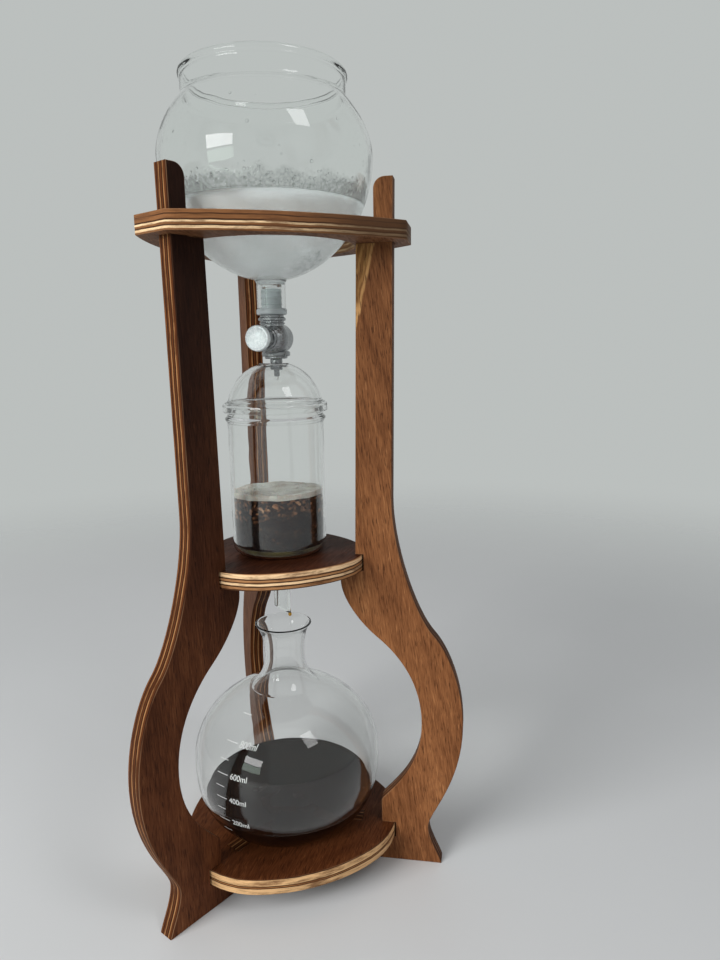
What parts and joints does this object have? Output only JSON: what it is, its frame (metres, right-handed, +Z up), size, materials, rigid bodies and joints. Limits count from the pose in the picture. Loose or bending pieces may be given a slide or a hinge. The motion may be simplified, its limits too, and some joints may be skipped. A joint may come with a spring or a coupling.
{
  "type": "cold drip coffee tower",
  "caption": "Tabletop cold drip coffee tower: plywood stand with glass water bulb, side-knob needle valve, domed glass brewing chamber and round glass flask.",
  "frame": {"origin": "on the table, at the middle of the stand's outline seen from above; the tower's axis is the vertical line at y = -0.0273", "axes": "+Z up along the tower, +Y towards the rear leg, +X to the right seen from the front"},
  "size_m": [0.2214, 0.1946, 0.5232],
  "materials": {
    "plywood": "brown stained birch plywood, satin oil, lighter bare plies along the cut edges",
    "glass": "clear blown borosilicate glass",
    "water": "clear water",
    "silicone": "translucent grey silicone",
    "steel": "turned stainless steel",
    "chrome": "bright plated metal",
    "knob": "bright turned face with a fine knurled rim",
    "packing": "black rubber",
    "filter": "felt soaked with coffee, yellow brown",
    "grounds": "wet coarse coffee grounds",
    "paper": "wet filter paper with fine foam",
    "coffee": "black coffee, dark red brown where thin"
  },
  "bodies": {
    "stand": {"leg_left": "plywood", "leg_right": "plywood", "leg_rear": "plywood", "top_ring": "plywood", "middle_shelf": "plywood", "base_plate": "plywood"},
    "bulb": {"water_bulb": "glass", "water": "water", "stopper_sleeve": "silicone", "inlet_tube": "steel", "valve_body": "chrome", "drip_nozzle": "chrome", "gland_nut": "chrome", "packing_ring": "packing"},
    "spindle": {"needle": "steel"},
    "knob": {"valve_knob": "knob"},
    "dome": {"dome_lid": "glass"},
    "chamber": {"brew_chamber": "glass", "filter_pad": "filter", "coffee_bed": "grounds", "paper_disc": "paper"},
    "flask": {"flask": "glass", "brewed_coffee": "coffee"}
  },
  "joints": [
    {"name": "bulb_lift", "type": "slide", "parent": "stand", "child": "bulb", "axis": [0, 0, 1], "range_m": [0, 0.12]},
    {"name": "dome_lift", "type": "slide", "parent": "stand", "child": "dome", "axis": [0, 0, 1], "range_m": [0, 0.06]},
    {"name": "chamber_lift", "type": "slide", "parent": "stand", "child": "chamber", "axis": [0, 0, 1], "range_m": [0, 0.054]},
    {"name": "needle_travel", "type": "slide", "parent": "bulb", "child": "spindle", "axis": [-0.6018, -0.7986, 0], "range_m": [0, 0.00113]},
    {"name": "knob_turn", "type": "hinge", "parent": "spindle", "child": "knob", "pos_m": [-0.01505, -0.04727, 0.3655], "axis": [-0.6018, -0.7986, 0], "range_deg": [0, 540]},
    {"name": "flask_slide", "type": "slide", "parent": "stand", "child": "flask", "axis": [0, -0.989, 0.1478], "range_m": [0, 0.15]}
  ],
  "couplings": [
    {"joint": "dome_lift", "follows": "bulb_lift", "ratio": 0.5},
    {"joint": "chamber_lift", "follows": "bulb_lift", "ratio": 0.45},
    {"joint": "needle_travel", "follows": "knob_turn", "m_per_rad": 0.00011937}
  ]
}
